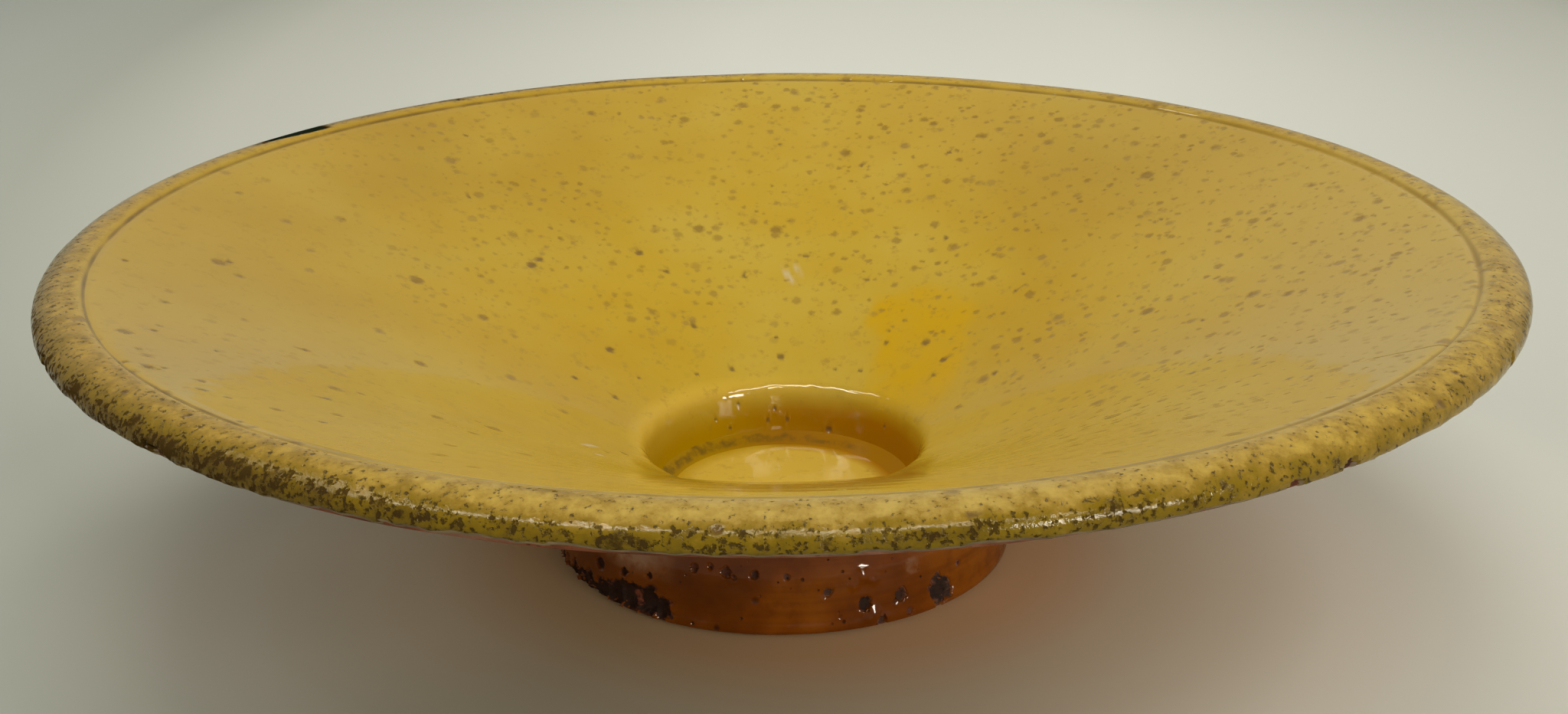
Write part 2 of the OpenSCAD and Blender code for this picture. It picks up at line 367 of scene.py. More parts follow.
def worn(bm, chips, coat=0.0, grow=0.0, later=0.0):
    """Moves every vertex by hand, then sinks it at the chips; a coat dives below the clay."""
    for v in bm.verts:
        v.co += by_hand(v.co)
    refine(bm, chips.spots(), 0.5)
    for v in bm.verts:
        deep, _, gone = chips.wear(v.co, grow)
        if coat and math.hypot(v.co.x, v.co.y) > LIP_HEART.x:
            end = coat_end(v.co) - later
            gone = max(gone, 1 - smooth(end - 5, end + 4, lip_turn(v.co)))
        if gone:
            v.co += inward(v.co) * (gone * (coat + deep + 0.25) if coat else deep)


def soot_mask(chips, grimed=0.0):
    """Soot in the chips, and a grime on clay that was always bare."""
    def share(p):
        return max(chips.wear(p)[1], grimed * (0.7 + 0.8 * noise.noise(p * 0.6)))
    return {"soot": share}


def groove_size(depth):
    """Depth and half width of the groove in a face that lies deeper than the glazed one."""
    side = math.atan2(GROOVE_DEPTH, GROOVE_HALF)
    deep = GROOVE_DEPTH + depth * (1 / math.cos(side) - 1)
    return deep, deep / math.tan(side)


def groove_bottom(depth):
    return GROOVE_P - way(FLARE_OUT_A + 90, depth + groove_size(depth)[0])


# The flat disc that closes the bottom of the well, seen only from beneath
section = Section(at(0, CEILING_Z))
section.line(at(CORNER_C.x, CEILING_Z), 8)
section.line(at(CORNER_C.x, FLOOR_Z - CLAY_DEPTH), 2)
section.line(at(0, FLOOR_Z - CLAY_DEPTH), 2)
well_floor = piece(section.turned(), "well_floor_clay", clay)
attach(well_floor, "root")
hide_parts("well_floor")

# The thick turned foot ring: wall of the well inside, grip and standing ring outside
section = Section(at(CORNER_C.x, FLOOR_Z - CLAY_DEPTH))
start = section.tip
section.arc(CORNER_C, WELL_A, 6)
section.line(SHOULDER_C + way(90 + WELL_A, SHOULDER_R - CLAY_DEPTH), 2)
section.arc(SHOULDER_C, FLARE_IN_A - WELL_A, 8)
section.line(UNDER_FOOT_P, 2)
section.arc(GRIP_C, 180 + FOOT_LEAN - UNDER_A, 10)
section.line(EDGE_C + way(FOOT_LEAN, EDGE_R), 22)
section.arc(EDGE_C, -90 - FOOT_LEAN, 14)
section.line(RING_C + way(270, RING_R), 6)
section.arc(RING_C, RING_A - 270, 5)
section.line(at(RECESS_IN_R, CEILING_Z), 4)
section.line(at(CORNER_C.x, CEILING_Z), 4)
section.bm.edges.new((section.tip, start))
bm = section.turned()
worn(bm, foot_chips)
foot_ring = piece(bm, "foot_ring_clay", clay, soot_mask(foot_chips))
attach(foot_ring, "root")
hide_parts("foot_ring")


def flare(section, depth, steps):
    """Draws the long hollow curve of the flared wall, from the shoulder to the groove."""
    short = math.degrees(groove_size(depth)[1] / (FLARE_R - depth))
    section.arc(FLARE_C, FLARE_OUT_A - FLARE_IN_A + short, steps)


# The flared wall, raised from the shoulder; its bare underside shows near the rim
section = Section(FLARE_C + way(90 + FLARE_IN_A, FLARE_R - CLAY_DEPTH))
start = section.tip
flare(section, CLAY_DEPTH, 16)
section.line(groove_bottom(CLAY_DEPTH))
section.line(UNDER_RIM_P, 2)
section.line(UNDER_FOOT_P, 50)
section.bm.edges.new((section.tip, start))
bm = section.turned()
worn(bm, rim_chips)
flared_wall = piece(bm, "flared_wall_clay", clay)
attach(flared_wall, "root")
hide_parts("flared_wall")


def lip(section, depth, end, steps):
    """Draws the rolled lip outside the groove: broad top, small nose and under arc."""
    near = GROOVE_P.x + depth * math.sin(math.radians(FLARE_OUT_A)) + groove_size(depth)[1]
    first = math.degrees(math.acos((near - LIP_TOP_C.x) / (LIP_TOP_R - depth)))
    section.line(LIP_TOP_C + way(first, LIP_TOP_R - depth), steps[0])
    section.arc(LIP_TOP_C, LIP_TOP_A - first, steps[1])
    section.arc(LIP_NOSE_C, LIP_NOSE_A - LIP_TOP_A, steps[2])
    section.arc(LIP_UNDER_C, end - LIP_NOSE_A, steps[3])


# The lip, rolled over outwards and smoothed with a wet cloth
section = Section(UNDER_RIM_P)
start = section.tip
section.line(groove_bottom(CLAY_DEPTH), 2)
lip(section, CLAY_DEPTH, LIP_CLAY_A, (1, 12, 12, 14))
section.line(start.co, 3)
bm = section.turned()
worn(bm, rim_chips)
rolled_rim = piece(bm, "rolled_rim_clay", clay, soot_mask(rim_chips, 0.35))
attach(rolled_rim, "root")
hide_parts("rolled_rim")

# Pale slip
# Fine cream clay, brushed wet over the upper face and round the lip. It hides the red
# body and makes the glaze over it look yellow; only its broken edge shows at the chips.
SLIP_DEPTH = 0.4
SLIP_DIRTY, SLIP_PALE = "#5f4a30", "#8d7550"


def upper_face(section, depth, floor, well, wall, lips):
    """Draws the whole upper face at a depth below the glaze, out from the axis."""
    section.line(CORNER_C + way(-90, CORNER_R + depth), floor)
    section.arc(CORNER_C, WELL_A, well[0])
    section.line(SHOULDER_C + way(90 + WELL_A, SHOULDER_R - depth), well[1])
    section.arc(SHOULDER_C, FLARE_IN_A - WELL_A, well[2])
    flare(section, depth, wall)
    section.line(groove_bottom(depth), lips[0])
    lip(section, depth, LIP_COATS_A, lips)
    return section.tip


def coat_section(top, under, fine, coarse):
    """A closed skin: two faces that both start on the axis, joined at the lip's end."""
    section = Section(at(0, FLOOR_Z - top))
    outer = upper_face(section, top, *fine)
    section.tip = section.bm.verts.new(at(0, FLOOR_Z - under))
    inner = upper_face(section, under, *coarse)
    section.bm.edges.new((outer, inner))
    return section


slip, tree = new_material("pale_cream_slip")
place = add(tree, "TexCoord").outputs["Object"]
cloud = add(tree, "TexNoise", {"Vector": place, "Scale": 1000 / 4.167, "Detail": 4.0})
tone = add(tree, "ValToRGB", {"Fac": cloud}, stops=[(0.3, SLIP_DIRTY), (0.7, SLIP_PALE)])
bump = add(tree, "Bump", {"Height": cloud, "Distance": 0.3 * MM})
shade = add(tree, "BsdfPrincipled", {"Base Color": tone, "Roughness": 0.7, "Normal": bump})
add(tree, "OutputMaterial", {"Surface": shade})

few = (2, (3, 1, 4), 14, (1, 10, 18, 4))
bm = coat_section(SLIP_DEPTH, CLAY_DEPTH, few, few).turned()
worn(bm, rim_chips, coat=0.5, grow=-0.15, later=6.0)
slip_coat = piece(bm, "slip_skin", slip)
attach(slip_coat, "root")
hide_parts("slip_coat")

# Yellow glaze
# Galena lead glaze poured over the slip: glossy, honey to mustard yellow, darker where it
# ran thick, with iron specks and pits, thin, pitted and burnt round the outside of the lip.
# Its colour also holds painted shade in the well, under the lip and at the far sides, and
# painted light on the well's floor and shoulder.

# Iron spots and pits on the wall and the lip: radius, bearing, width and depth in mm
IRON_SPOTS = [(125.8, 186.9, 1.8, 0.2), (110.2, 178.9, 1.7, 0.12), (117.2, 195.1, 1.8, 0.2),
              (120.1, 204.2, 1.8, 0.2), (125.2, 210.5, 1.5, 0.2), (129.8, 214.6, 1.5, 0.3),
              (126.6, 215.5, 2.4, 0.3), (124.0, 215.3, 1.3, 0.2), (122.9, 221.0, 2.2, 0.3),
              (120.1, 218.1, 2.0, 0.2), (120.4, 222.7, 1.6, 0.2), (110.9, 207.0, 1.2, 0.15),
              (93.6, 199.4, 1.8, 0.15), (99.0, 218.4, 2.0, 0.15), (111.4, 228.9, 2.0, 0.2),
              (36.0, 90.6, 1.9, 0.35), (33.7, 109.3, 1.5, 0.3), (44.6, 45.6, 2.3, 0.12),
              (42.3, 35.1, 1.9, 0.1), (46.2, 143.8, 2.3, 0.15), (34.2, 123.3, 1.1, 0.2),
              (37.6, 145.0, 1.0, 0.2), (33.5, 69.8, 1.1, 0.2), (34.1, 60.1, 1.2, 0.25),
              (36.9, 162.2, 1.7, 0.15), (45.0, 164.6, 1.4, 0.15), (73.1, 139.7, 2.7, 0.12),
              (69.4, 118.2, 2.2, 0.1), (74.1, 137.2, 2.0, 0.1), (139.1, 316.1, 2.0, 0.3),
              (136.5, 320.3, 1.6, 0.2), (134.1, 228.3, 1.6, 0.2), (135.7, 221.4, 1.4, 0.2),
              (128.7, 230.6, 1.3, 0.2), (138.8, 266.3, 1.8, 0.3), (138.2, 280.3, 1.3, 0.2)]
# Pinholes in the well's wall: bearing, height and width; each is as deep as the next
PINHOLES = [(93.8, 16.7, 1.0), (97.2, 14.3, 0.9), (88.2, 14.4, 0.9), (115.8, 13.5, 0.9),
            (122.6, 16.1, 0.8), (110.4, 18.4, 0.8), (68.0, 12.8, 1.6), (37.6, 16.6, 0.9)]
PINHOLE_DEPTH, SCATTERED_DEPTH, SPOT_REACH = 0.3, 0.12, 2.4
dice = random.Random(1826)
for _ in range(40):       # more of them scattered where the photograph shows only a crowd
    IRON_SPOTS.append((dice.uniform(38, 124), dice.uniform(-100, 170), dice.uniform(0.9, 1.7),
                       SCATTERED_DEPTH))


def face_height(r):
    """Height of the glazed face at a radius, on the flared wall or on the lip's top."""
    centre, radius = (FLARE_C, FLARE_R) if r < GROOVE_P.x else (LIP_TOP_C, LIP_TOP_R)
    return centre.z + math.sqrt(radius ** 2 - (r - centre.x) ** 2)


SPOTS = [(on_piece(r, b, face_height(r)), wide, deep) for r, b, wide, deep in IRON_SPOTS]
SPOTS += [(on_piece(MOUTH_R - (MOUTH_P.z - z) / WELL_TAN, b, z), wide, PINHOLE_DEPTH)
          for b, z, wide in PINHOLES]
spot_tree = nearby([spot for spot, *_ in SPOTS])


def spotted(p):
    """Share of iron spot at p and the depth of its pit, which has a slightly raised edge."""
    share, pit, lift = 0.0, 0.0, 0.0
    for _, i, away in spot_tree.find_range(p, SPOT_REACH):
        _, wide, deep = SPOTS[i]
        ragged = away + 0.22 * noise.noise(p * 1.7)
        share = max(share, 1 - smooth(wide * 0.3, wide * 0.56, ragged))
        pit = max(pit, deep * (1 - smooth(0.0, wide * 0.55, ragged)))
        lift = max(lift, 0.32 * deep * bell(ragged / wide, 0.66, 0.15))
    return share, pit - lift


def uneven(p):
    """Depth of the potter's faint finger rings, and of the lumpy glaze on the shoulder."""
    r = math.hypot(p.x, p.y)
    if r < 26 or r > 129:
        return 0.0
    drift = 3 * noise.noise(Vector((p.x, p.y, 0)) * 0.02)
    rings = 0.02 * (1 + math.sin((r + drift) * math.tau / FINGER_RING)) * smooth(31, 40, r)
    lumps = 0.12 + 0.09 * noise.noise(p * 0.36) + 0.05 * noise.noise(p * 0.95)
    return rings + lumps * smooth(26, 28.5, r) * (1 - smooth(32, 39, r))


def thick_well(p):
    """Where the glaze ran thick on the well's wall, highest at the far right; its darker colour there is
    also painted shade of the steep wall.
    """
    r = math.hypot(p.x, p.y)
    if r > 32 or r < 20:
        return 0.0
    wobble = noise.noise(p * 0.1) + 0.5 * noise.noise(p * 0.33)
    right = max(0.0, facing(p, 20)) ** 2
    start = 22.7 - 4.6 * right
    top = 18.8 + 1.8 * facing(p, 40)
    return (smooth(start, start + 1.2 + 2.6 * right, r + 0.4 * wobble)
            * (1 - smooth(top - 4.6, top, p.z + 0.8 * wobble)))


def pale_well(p):
    """Painted light: the well's floor lightened against its shade, and a lit sheen on the left of its
    shoulder.
    """
    r = math.hypot(p.x, p.y)
    if r > 40:
        return 0.0
    if p.z < 12:
        return 0.6 * (1 - smooth(20.4, 22.4, r))
    return 0.85 * max(0.0, facing(p, 155)) * bell(r, 29.0, 2.2) * smooth(17.5, 20.0, p.z)


# The golden stain right of the well: radius and bearing of its outline
STAIN_OUTLINE = [(51.4, 66.1), (55.3, 66.2), (58.2, 57.7), (59.0, 49.1), (55.4, 41.0), (48.7, 33.3),
                 (42.2, 27.8), (35.9, 18.1), (31.4, 14.8), (29.0, 28.0), (28.6, 40.0), (29.8, 53.7),
                 (35.4, 56.8), (41.5, 58.6), (46.1, 64.5)]
stain_points = [around(r, b).xy for r, b in STAIN_OUTLINE]


def stained(p):
    """Share of the stain: blotched, with a soft ragged edge."""
    r = math.hypot(p.x, p.y)
    if not 26 < r < 66 or p.x < 2 or p.y < 0:
        return 0.0
    bend = Vector((noise.noise(p * 0.13), noise.noise(p * 0.13 + Vector((9, 4, 2))))) * 2.6
    spot = p.xy + bend
    inside, nearest = False, 1e9
    for a, b in zip(stain_points, stain_points[1:] + stain_points[:1]):
        along = b - a
        near = a + along * min(max((spot - a).dot(along) / along.length_squared, 0.0), 1.0)
        nearest = min(nearest, (spot - near).length)
        if (a.y > spot.y) != (b.y > spot.y) and spot.x < a.x + (spot.y - a.y) * along.x / along.y:
            inside = not inside
    edge = nearest if inside else -nearest
    soft = 1.6 + 1.6 * (1 - smooth(28, 44, r))
    blotch = 0.8 + 0.5 * noise.noise(p * 0.12 + Vector((2, 8, 5))) + 0.3 * noise.noise(p * 0.5)
    return smooth(-soft, soft, edge) * min(1.0, blotch)


def creamy(p):
    """Where the glaze is thin and pale: by the groove, on the sides and on the well's floor."""
    r, b = place_of(p)
    wobble = 5 * noise.noise(p * 0.05) + 2 * noise.noise(p * 0.16)
    side = facing(p, 0)
    level = 0.25 + 0.25 * abs(side) + 0.12 * side - 0.12 * facing(p, 90)
    outer = level * smooth(58, 126, r + wobble) * (1 - smooth(131, 136, r))
    near = 5 * smooth(0.4, 0.9, facing(p, 270))
    turn = lip_turn(p) if r > 130 else 180.0
    band = (0.22 + 0.62 * bell(b, 276, 30)) * smooth(125 - near, 131 - near, r)
    band *= smooth(28, 50, turn + 2.0 * wobble)
    floor = 0.45 * (1 - smooth(19.5, 23.0, r + 0.15 * wobble)) if r < 24 else 0.0
    return max(outer, band, floor)


def painted_side_shade(p):
    """Painted shade: outer parts at the far sides and the left, darkened where less light falls."""
    r, b = place_of(p)
    share = sum(strength * bell(b, middle, wide) for middle, wide, strength in
                ((45, 18, 0.8), (137, 28, 0.9), (182, 22, 0.6), (216, 16, 0.4)))
    return 0.36 * min(share, 1.0) * smooth(55, 105, r) * (1 + 0.5 * noise.noise(p * 0.05))


# Dark smudges on the lip: bearing, turn round the lip, length and width in mm, strength
LIP_SMUDGES = [(254.3, 32, 6, 1.6, 0.8), (261.2, 18, 9, 1.6, 1.0), (266.3, 41, 3, 2.2, 1.0),
               (268.0, 32, 8, 0.9, 0.9), (270.3, 48, 5, 0.8, 0.7), (270.1, 29, 2.4, 2.6, 0.8),
               (263.9, 34, 8, 2.0, 0.6), (276.0, 46, 5, 1.2, 0.7), (277.5, 27, 5, 1.4, 1.1),
               (279.0, 21, 8, 1.6, 1.2), (280.4, 31, 5, 1.6, 1.1), (282.2, 33, 7, 1.6, 0.9),
               (283.8, 36, 4, 1.4, 0.9), (288.6, 32, 9, 3.4, 1.0), (290.6, 41, 6, 3.0, 0.8),
               (293.8, 19, 5, 1.6, 1.0), (298.2, 52, 9, 3.0, 0.5), (206.9, 20, 9, 3.6, 1.1),
               (212.0, 12, 9, 2.4, 0.9), (216.3, 32, 8, 3.0, 0.9), (221.4, 20, 8, 3.4, 1.0),
               (225.6, 26, 7, 3.0, 0.8), (229.2, 24, 9, 3.4, 1.0), (234.0, 30, 12, 3.6, 1.2),
               (238.4, 36, 9, 3.4, 1.0), (241.8, 34, 9, 3.0, 1.1), (247.8, 27, 9, 2.2, 0.7),
               (301.9, 36, 8, 2.0, 0.5), (311.5, 40, 8, 2.4, 0.6), (319.0, 44, 8, 2.6, 0.6),
               (328.0, 40, 9, 2.6, 0.8), (334.5, 38, 9, 3.0, 0.9), (340.0, 30, 9, 3.0, 0.8),
               (60.0, 20, 20, 3.0, 0.7), (100.0, 10, 26, 3.6, 0.8), (140.0, 16, 24, 3.6, 0.9),
               (126.5, 103, 5, 1.2, 3.0), (109.8, 103, 3, 1.0, 2.0), (102.3, 103, 4, 1.0, 2.4),
               (255.5, 112, 12, 2.4, 1.1), (344.0, 84, 5, 1.0, 1.4), (335.5, 70, 7, 1.2, 1.0)]
SMUDGE_REACH, LIP_MEAN_R = 14.0, 5.5
smudge_tree = nearby([around(DISH_R, bearing) for bearing, *_ in LIP_SMUDGES])


def lip_grime_and_shade(p):
    """How burnt and grimy the lip is, with painted shade: outside and below, most at the left front."""
    r, b = place_of(p)
    if r < 128:
        return 0.0
    turn = lip_turn(p)
    wobble = 10 * noise.noise(p * 0.07) + 8 * noise.noise(p * 0.22)
    left, end, right = bell(b, 228, 24), bell(b, 190, 20), bell(b, 322, 26)
    # Burn and grime on the lip's outside and underside, with painted shade there as well.
    outer = 1 - smooth(14, 64 + 22 * left + 34 * end + 8 * right, turn + wobble)
    level = outer * (0.56 + 0.14 * left - 0.38 * right)
    level += (0.2 + 0.15 * left + 0.12 * end + 0.07 * right) * smooth(130.8, 133, r)
    for _, i, away in smudge_tree.find_range(around(DISH_R, b), SMUDGE_REACH):
        _, middle, long, wide, strength = LIP_SMUDGES[i]
        u = away / (long / 2)
        v = math.radians(turn - middle) * LIP_MEAN_R / (wide / 2)
        level += 0.3 * strength * math.exp(-(u * u + v * v) + 0.8 * noise.noise(p * 0.8))
    far_edge = 0.55 * bell(b, 122, 26) * (1 - smooth(97, 106, turn + 0.3 * wobble))
    limit = 99 + 14 * smooth(152, 144, b) + 2 * noise.noise(p * 0.6)
    streak = smooth(142.3, 143.4, b) * smooth(154, 149, b) * (1 - smooth(limit - 3, limit + 2, turn))
    return max(level + far_edge, 1.9 * streak)


def grooved(p):
    """Nearness to the bottom of the groove, and to the finer line inside it at the left."""
    r, b = place_of(p)
    if not 122 < r < 134:
        return 0.0
    ring = around(1, b)
    own = r - by_hand(p).dot(ring)
    fade = min(0.88 + 0.1 * noise.noise(ring * 6) + 0.14 * noise.noise(ring * 24), 1.0)
    near, right = smooth(0.5, 0.95, -ring.y), smooth(0.6, 0.95, ring.x)
    half = 1.2 + 1.2 * near + 0.7 * right
    line = fade * max(0.0, 1 - abs(own - 130.9 + 1.2 * near) / half)
    twin = bell(b, 234, 16) * max(0.0, 1 - abs(own - 127.6 - 0.03 * (b - 232)) / 0.9)
    return min(1.0, max(line, 0.93 * twin))


# Bluish white scuffs on the wall: radius, bearing, length, width in mm and strength. Each
# leans by the same angle from its bearing
SCUFFS = [(43.9, 211.9, 2.6, 0.8, 1.0), (46.2, 221.4, 2.0, 0.7, 0.9),
          (58.6, 88.5, 3.4, 0.9, 0.5), (60.5, 86.5, 2.2, 0.8, 0.4)]
SCUFF_LEAN = 35


def scuffed(p):
    mark = 0.0
    for r, b, long, wide, strength in SCUFFS:
        off = p - on_piece(r, b, face_height(r))
        if off.length < long:
            along = around(1, b + SCUFF_LEAN)
            u, v = off.dot(along) / long, (along.x * off.y - along.y * off.x) / wide
            mark = max(mark, strength * (1 - smooth(0.4, 1.0, math.hypot(u, v))))
    return mark


def crowded(p):
    """Where the small iron specks crowd: far side and right, with few at the left."""
    drift = 0.5 * noise.noise(p * 0.03) + 0.35 * noise.noise(p * 0.09)
    side = 0.6 + 0.5 * facing(p, 40)
    return min(max((side + drift) * smooth(30, 52, math.hypot(p.x, p.y)), 0.12), 1.0)


# A hairline crack at the right: two ends, and its line in the plane of the rim
CRACK_ENDS = [Vector((96.1, -69.0)), Vector((114.4, -75.2))]
CRACK_LENGTH = (CRACK_ENDS[1] - CRACK_ENDS[0]).length
crack_way = (CRACK_ENDS[1] - CRACK_ENDS[0]).normalized()
crack_side = Vector((-crack_way.y, crack_way.x))


def cracked(p):
    """1 along the hairline crack and a few mm each side of it, for its line to be drawn in."""
    spot = p.xy - CRACK_ENDS[0]
    along, off = spot.dot(crack_way), abs(spot.dot(crack_side))
    if off > 6 or p.z < 55:
        return 0.0
    ends = smooth(-1, 3, along) * (1 - smooth(CRACK_LENGTH - 3, CRACK_LENGTH + 1, along))
    return ends * (1 - smooth(3, 6, off))


FINGER_RING = 7.3         # mm from one faint finger ring to the next
MOST_SUNK = 0.32          # mm that the glaze's face may sink, so that it stays above the slip
GLAZE_HONEY, GLAZE_MUSTARD, GLAZE_LIGHT = "#b38f1c", "#b79626", "#b99d36"
# The deeper glaze tone is painted shade at the far sides and the left.
# The pale well tone is painted light on the well's floor and shoulder.
GLAZE_CREAM, GLAZE_SHADED, GLAZE_STAIN, WELL_LIT_TONE = "#b79d54", "#906c10", "#bd9500", "#ceaa3c"
# The thick glaze tones also hold painted shade of the steep well wall.
THICK_SHADED_LEFT, THICK_SHADED_MIDDLE, THICK_SHADED_RIGHT = "#ae8600", "#a07000", "#9e6800"
IRON, IRON_PALE, SPOT, SCUFF = "#785a20", "#8c7038", "#634a2c", "#c4b8a4"
RIM_HAZE, RIM_OLIVE, RIM_BROWN, RIM_DARK = "#94752a", "#7c6309", "#5c4614", "#35261a"
RIM_STREAK, GROOVE_LINE, GROOVE_OCHRE = "#161e14", "#604a2a", "#957620"
# Of these masks, the deep one is painted shade, the thick glaze and the lip's grime also hold painted
# shade, and the pale well is painted light.
PAINTED = {"thick": thick_well, "stain": stained, "cream": creamy, "deep": painted_side_shade,
           "grime_and_shade": lip_grime_and_shade, "groove": grooved, "scuff": scuffed, "crowd": crowded,
           "crack": cracked, "spot": lambda p: spotted(p)[0], "pale": pale_well}
yellow, tree = new_material("yellow_lead_glaze_over_slip")
place = add(tree, "TexCoord").outputs["Object"]
masks = {name: add(tree, "Attribute", attribute_name=name).outputs["Fac"] for name in PAINTED}

# The noises of this glaze: the size of their clouds in mm, their detail and their roughness
wide_cloud, fine_cloud, bend, blots, grains, wander, waves = (
    add(tree, "TexNoise", {"Vector": place, "Scale": 1000 / size, "Detail": detail, "Roughness": rough})
    for size, detail, rough in ((41.67, 3.0, 0.55), (6.667, 4.0, 0.6), (1.111, 2.0, 0.5),
                                (3.333, 5.0, 0.65), (1.0, 3.0, 0.6), (6.25, 3.0, 0.5), (9.09, 1.0, 0.5)))

# The glaze's own colour: honey to mustard in wide clouds, broken by a fine paler mottle
base = add(tree, "ValToRGB", {"Fac": wide_cloud},
           stops=[(0.34, GLAZE_HONEY), (0.52, GLAZE_MUSTARD), (0.7, GLAZE_LIGHT)])
mottle = add(tree, "MapRange", {"Value": fine_cloud, "From Min": 0.35, "From Max": 0.7, "To Max": 0.24})
from_axis = add(tree, "VectorMath", {0: place}, operation="LENGTH")
to_right = add(tree, "SeparateXYZ", {"Vector": place}).outputs["X"]
# The thick glaze's tone across the well, darker to the right, also holds painted shade of the steep wall.
well_side = add(tree, "MapRange", {"Value": to_right, "From Min": -25 * MM, "From Max": 25 * MM})
thick_tone = add(tree, "ValToRGB", {"Fac": well_side},
                 stops=[(0.2, THICK_SHADED_LEFT), (0.5, THICK_SHADED_MIDDLE), (0.85, THICK_SHADED_RIGHT)])

# Iron specks of three sizes; their outlines are bent by a fine noise, as the real ones are
bent = add(tree, "VectorMath", {0: bend.outputs["Color"], 1: (1.4 * MM, 1.4 * MM, 1.4 * MM)},
           operation="MULTIPLY")
bent = add(tree, "VectorMath", {0: place, 1: bent}, operation="ADD").outputs[0]
fine_specks, mid_specks = (
    add(tree, "Math", {0: specks(tree, bent, *scatter), 1: masks["crowd"]}, operation="MULTIPLY")
    for scatter in ((2.6, 0.37, 0.85, 0.2), (4.6, 0.31, 1.0, 0.15)))
big_specks = specks(tree, bent, 8.5, 0.22, 0.85, 0.11)
small_specks = add(tree, "Math", {0: fine_specks, 1: mid_specks}, operation="MAXIMUM")
small_share = add(tree, "Math", {0: small_specks, 1: 0.62}, operation="MULTIPLY")
past_well = add(tree, "MapRange", {"Value": from_axis, "From Min": 34 * MM, "From Max": 40 * MM,
                                   "To Max": 0.75})
big_share = add(tree, "Math", {0: big_specks, 1: past_well}, operation="MULTIPLY")
speck_share = add(tree, "Math", {0: small_share, 1: big_share}, operation="MAXIMUM")
iron_tone = add(tree, "ValToRGB", {"Fac": fine_cloud}, stops=[(0.4, IRON), (0.6, IRON_PALE)])

# Grime on the lip, with painted shade on its outside and underside, turns the glaze
# brown-grey, then olive, then brown, and gathers last in irregular dark pits, which grow
# and crowd where it is strongest
rough = add(tree, "Math", {0: blots, 1: 1.1, 2: -0.75}, operation="MULTIPLY_ADD")
rough = add(tree, "Math", {0: grains, 1: 0.4, 2: rough}, operation="MULTIPLY_ADD")
grime_and_shade_level = add(tree, "Math", {0: rough, 1: masks["grime_and_shade"]}, operation="ADD")
peppered = add(tree, "Math", {0: masks["grime_and_shade"], 1: 0.15, 2: grains}, operation="MULTIPLY_ADD")
peppered = add(tree, "MapRange", {"Value": peppered, "From Min": 0.655, "From Max": 0.745, "To Max": 0.75})
blotted = add(tree, "Math", {0: masks["grime_and_shade"], 1: 0.24, 2: blots}, operation="MULTIPLY_ADD")
blotted = add(tree, "MapRange", {"Value": blotted, "From Min": 0.77, "From Max": 0.87, "To Max": 0.7})
pits = add(tree, "Math", {0: peppered, 1: blotted}, operation="MAXIMUM")
on_lip = add(tree, "MapRange", {"Value": masks["grime_and_shade"], "From Min": 0.08, "From Max": 0.2})
pit_share = add(tree, "Math", {0: pits, 1: on_lip}, operation="MULTIPLY")
haze, olive, brown = (
    add(tree, "MapRange", {"Value": grime_and_shade_level, "From Min": low, "From Max": high, "To Max": most})
    for low, high, most in ((0.08, 0.4, 0.85), (0.3, 0.66, 0.88), (0.7, 1.15, 0.8)))
streak = add(tree, "MapRange", {"Value": masks["grime_and_shade"], "From Min": 1.4, "From Max": 1.7})
spot_share = add(tree, "Math", {0: masks["spot"], 1: 0.75}, operation="MULTIPLY")

# The groove's bottom is darkened, grey brown, and ochre at the far right
across = add(tree, "MapRange", {"Value": to_right, "From Min": 60 * MM, "From Max": 120 * MM})
groove_tone = add(tree, "ValToRGB", {"Fac": across}, stops=[(0.0, GROOVE_LINE), (1.0, GROOVE_OCHRE)])
groove_share = add(tree, "MapRange", {"Value": masks["groove"], "From Min": 0.6, "From Max": 0.9,
                                      "To Max": 0.85})

# The crack's line, 0.3 mm wide, wanders by up to 1.5 mm about its plane
off = add(tree, "VectorMath", {0: place, 1: (crack_side.x, crack_side.y, 0.0)}, operation="DOT_PRODUCT")
off = add(tree, "Math", {0: wander, 1: 3 * MM, 2: off}, operation="MULTIPLY_ADD")
off = add(tree, "Math", {0: off, 1: (crack_side.dot(CRACK_ENDS[0]) + 1.5) * MM}, operation="SUBTRACT")
off = add(tree, "Math", {0: off}, operation="ABSOLUTE")
line = add(tree, "MapRange", {"Value": off, "From Min": 0.4 * MM, "From Max": 0.15 * MM, "To Max": 0.55})
crack_share = add(tree, "Math", {0: line, 1: masks["crack"]}, operation="MULTIPLY")

# Of these layers, the deeper tone is painted shade, the thick tone and the lip's haze, olive and brown also
# hold painted shade, and the pale well tone is painted light.
colour = base
for share, tint in ((mottle, GLAZE_LIGHT), (masks["cream"], GLAZE_CREAM),
                    (masks["deep"], GLAZE_SHADED), (masks["stain"], GLAZE_STAIN),
                    (masks["pale"], WELL_LIT_TONE), (speck_share, iron_tone),
                    (masks["thick"], thick_tone), (groove_share, groove_tone),
                    (haze, RIM_HAZE), (olive, RIM_OLIVE), (brown, RIM_BROWN),
                    (pit_share, RIM_DARK), (streak, RIM_STREAK), (spot_share, SPOT),
                    (masks["scuff"], SCUFF), (crack_share, IRON)):
    tint = linear(tint) if isinstance(tint, str) else tint
    colour = add(tree, "Mix", {0: share, 6: colour, 7: tint}, data_type="RGBA")

